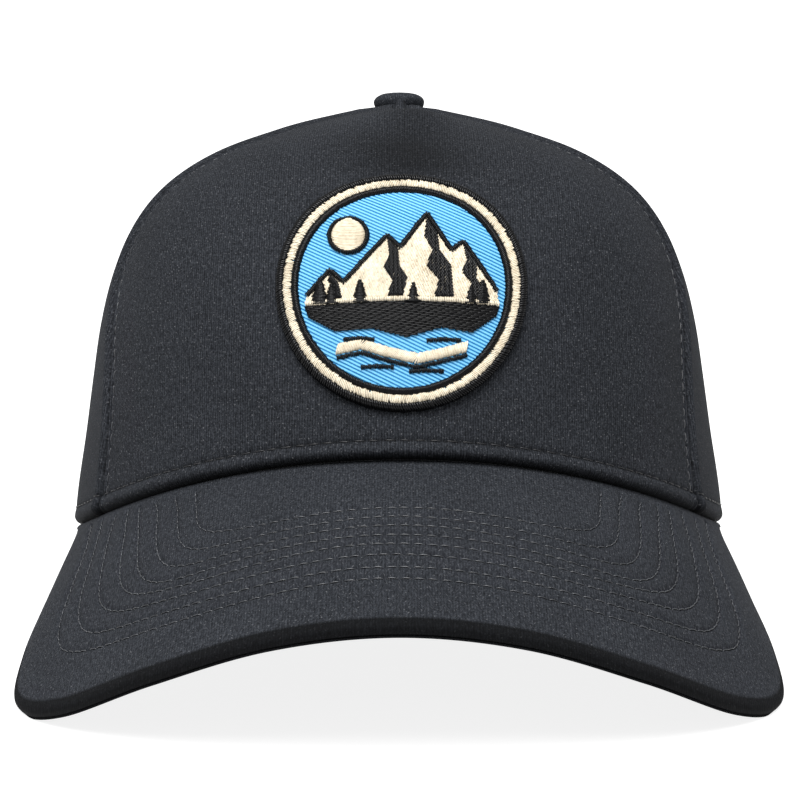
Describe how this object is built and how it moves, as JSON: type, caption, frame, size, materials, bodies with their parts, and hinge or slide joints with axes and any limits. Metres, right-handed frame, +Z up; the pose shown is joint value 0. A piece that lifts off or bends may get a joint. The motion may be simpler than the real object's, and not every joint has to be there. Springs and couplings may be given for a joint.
{
  "type": "sports cap",
  "caption": "Soft sports cap with a curved stitched peak, covered button, round embroidered badge and a strap across an arched opening at the back.",
  "frame": {"origin": "on the surface that the cap lies on, under the middle of its bounding box", "axes": "+Z up, +Y towards the back of the head, +X towards the wearer's left"},
  "size_m": [0.1768, 0.27, 0.1332],
  "materials": {
    "cloth": "matte cotton twill, charcoal",
    "strap": "woven tape, charcoal",
    "black_thread": "satin stitched, black",
    "cream_thread": "satin stitched, cream",
    "blue_twill": "twill, bright blue"
  },
  "bodies": {
    "root": {"front_panel": "cloth", "side_panel_left": "cloth", "side_panel_right": "cloth", "back_panel_left": "cloth", "back_panel_right": "cloth", "peak": "cloth", "top_button": "cloth", "back_strap": "strap", "badge_ground": "blue_twill", "badge_border": "black_thread", "badge_ring": "cream_thread", "badge_sun": "cream_thread", "badge_peaks": "cream_thread", "badge_hills": "black_thread", "badge_trail": "cream_thread"}
  },
  "joints": []
}
